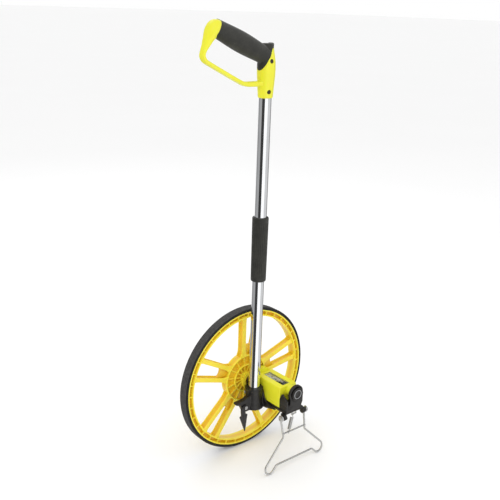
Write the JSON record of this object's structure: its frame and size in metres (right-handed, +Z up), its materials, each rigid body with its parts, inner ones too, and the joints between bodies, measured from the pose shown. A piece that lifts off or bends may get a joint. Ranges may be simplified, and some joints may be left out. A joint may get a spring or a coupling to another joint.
{
  "type": "measuring wheel",
  "caption": "Walking measuring wheel with a spoked road wheel, side counter, folding column, D handle and wire stand.",
  "frame": {"origin": "point of the ground straight under the axle, in the wheel's mid plane", "axes": "+X the direction of travel, +Y along the axle away from the counter, +Z up"},
  "size_m": [0.3183, 0.1464, 0.8921],
  "materials": {
    "tyre_rubber": "matte with a fine tread",
    "wheel_yellow": "moulded satin",
    "housing_yellow": "moulded satin",
    "black_plastic": "fine moulded texture",
    "grip_rubber": "soft matte",
    "chrome": "polished",
    "steel": "plated",
    "hinge_metal": "cast",
    "bush_bronze": "sintered",
    "white_plastic": "moulded",
    "dark_digit": "moulded",
    "clear_window": "clear polished"
  },
  "bodies": {
    "frame": {"column_bracket": "black_plastic", "axle_bolt": "steel", "axle_nut": "steel", "start_pointer": "black_plastic", "pointer_screw": "steel", "counter_cradle": "black_plastic", "cradle_screws": "steel", "counter_housing": "housing_yellow", "counter_window": "clear_window", "gear_cover": "housing_yellow", "counter_bearings": "bush_bronze", "carry_shaft": "steel", "lower_tube": "chrome", "tube_screw": "steel", "lower_hinge_fitting": "hinge_metal", "stand_pivots": "steel", "spring_anchor": "steel"},
    "road_wheel": {"tyre": "tyre_rubber", "spoked_wheel": "wheel_yellow", "hub_bushes": "bush_bronze", "hub_gear": "wheel_yellow", "hub_cap": "wheel_yellow"},
    "counter_drive": {"counter_shaft": "steel", "input_gear": "white_plastic", "number_wheel_1": "dark_digit"},
    "digit_2": {"number_wheel_2": "white_plastic"},
    "digit_3": {"number_wheel_3": "white_plastic"},
    "digit_4": {"number_wheel_4": "white_plastic"},
    "digit_5": {"number_wheel_5": "white_plastic"},
    "carry_1": {"carry_pinion_1": "white_plastic"},
    "carry_2": {"carry_pinion_2": "white_plastic"},
    "carry_3": {"carry_pinion_3": "white_plastic"},
    "carry_4": {"carry_pinion_4": "white_plastic"},
    "reset_knob": {"reset_knob": "black_plastic"},
    "upper_column": {"upper_hinge_fitting": "hinge_metal", "hinge_pin": "steel", "upper_tube": "chrome", "handle_frame": "housing_yellow", "handle_grip": "grip_rubber", "handle_screws": "steel"},
    "lock_sleeve": {"lock_sleeve": "grip_rubber"},
    "stand": {"stand_wire": "steel", "stand_spring": "steel"}
  },
  "joints": [
    {"name": "wheel_spin", "type": "hinge", "parent": "frame", "child": "road_wheel", "pos_m": [0, 0, 0.15915], "axis": [0, 1, 0], "continuous": true},
    {"name": "counter_spin", "type": "hinge", "parent": "frame", "child": "counter_drive", "pos_m": [0.03578, -0.06, 0.15515], "axis": [0, 1, 0], "continuous": true},
    {"name": "digit_2_spin", "type": "hinge", "parent": "frame", "child": "digit_2", "pos_m": [0.03578, -0.06, 0.15515], "axis": [0, 1, 0], "continuous": true},
    {"name": "digit_3_spin", "type": "hinge", "parent": "frame", "child": "digit_3", "pos_m": [0.03578, -0.06, 0.15515], "axis": [0, 1, 0], "continuous": true},
    {"name": "digit_4_spin", "type": "hinge", "parent": "frame", "child": "digit_4", "pos_m": [0.03578, -0.06, 0.15515], "axis": [0, 1, 0], "continuous": true},
    {"name": "digit_5_spin", "type": "hinge", "parent": "frame", "child": "digit_5", "pos_m": [0.03578, -0.06, 0.15515], "axis": [0, 1, 0], "continuous": true},
    {"name": "carry_1_spin", "type": "hinge", "parent": "frame", "child": "carry_1", "pos_m": [0.04548, -0.06, 0.14034], "axis": [0, 1, 0], "continuous": true},
    {"name": "carry_2_spin", "type": "hinge", "parent": "frame", "child": "carry_2", "pos_m": [0.04548, -0.06, 0.14034], "axis": [0, 1, 0], "continuous": true},
    {"name": "carry_3_spin", "type": "hinge", "parent": "frame", "child": "carry_3", "pos_m": [0.04548, -0.06, 0.14034], "axis": [0, 1, 0], "continuous": true},
    {"name": "carry_4_spin", "type": "hinge", "parent": "frame", "child": "carry_4", "pos_m": [0.04548, -0.06, 0.14034], "axis": [0, 1, 0], "continuous": true},
    {"name": "reset_turn", "type": "hinge", "parent": "frame", "child": "reset_knob", "pos_m": [0.03928, -0.12, 0.15865], "axis": [0, -1, 0], "range_deg": [0, 360]},
    {"name": "column_fold", "type": "hinge", "parent": "frame", "child": "upper_column", "pos_m": [-0.0008, -0.043, 0.50615], "axis": [0, 1, 0], "range_deg": [0, 130]},
    {"name": "sleeve_slide", "type": "slide", "parent": "frame", "child": "lock_sleeve", "axis": [0, 0, -1], "range_m": [0, 0.075]},
    {"name": "stand_swing", "type": "hinge", "parent": "frame", "child": "stand", "pos_m": [0.03578, -0.122, 0.11315], "axis": [-1, 0, 0], "range_deg": [0, 85]}
  ],
  "couplings": [
    {"joint": "counter_spin", "follows": "wheel_spin", "ratio": -1},
    {"joint": "digit_2_spin", "follows": "wheel_spin", "ratio": -0.1},
    {"joint": "digit_3_spin", "follows": "wheel_spin", "ratio": -0.01},
    {"joint": "digit_4_spin", "follows": "wheel_spin", "ratio": -0.001},
    {"joint": "digit_5_spin", "follows": "wheel_spin", "ratio": -0.0001},
    {"joint": "carry_1_spin", "follows": "wheel_spin", "ratio": 0.25},
    {"joint": "carry_2_spin", "follows": "wheel_spin", "ratio": 0.025},
    {"joint": "carry_3_spin", "follows": "wheel_spin", "ratio": 0.0025},
    {"joint": "carry_4_spin", "follows": "wheel_spin", "ratio": 0.00025},
    {"joint": "sleeve_slide", "follows": "column_fold", "m_per_rad": 0.03305}
  ]
}
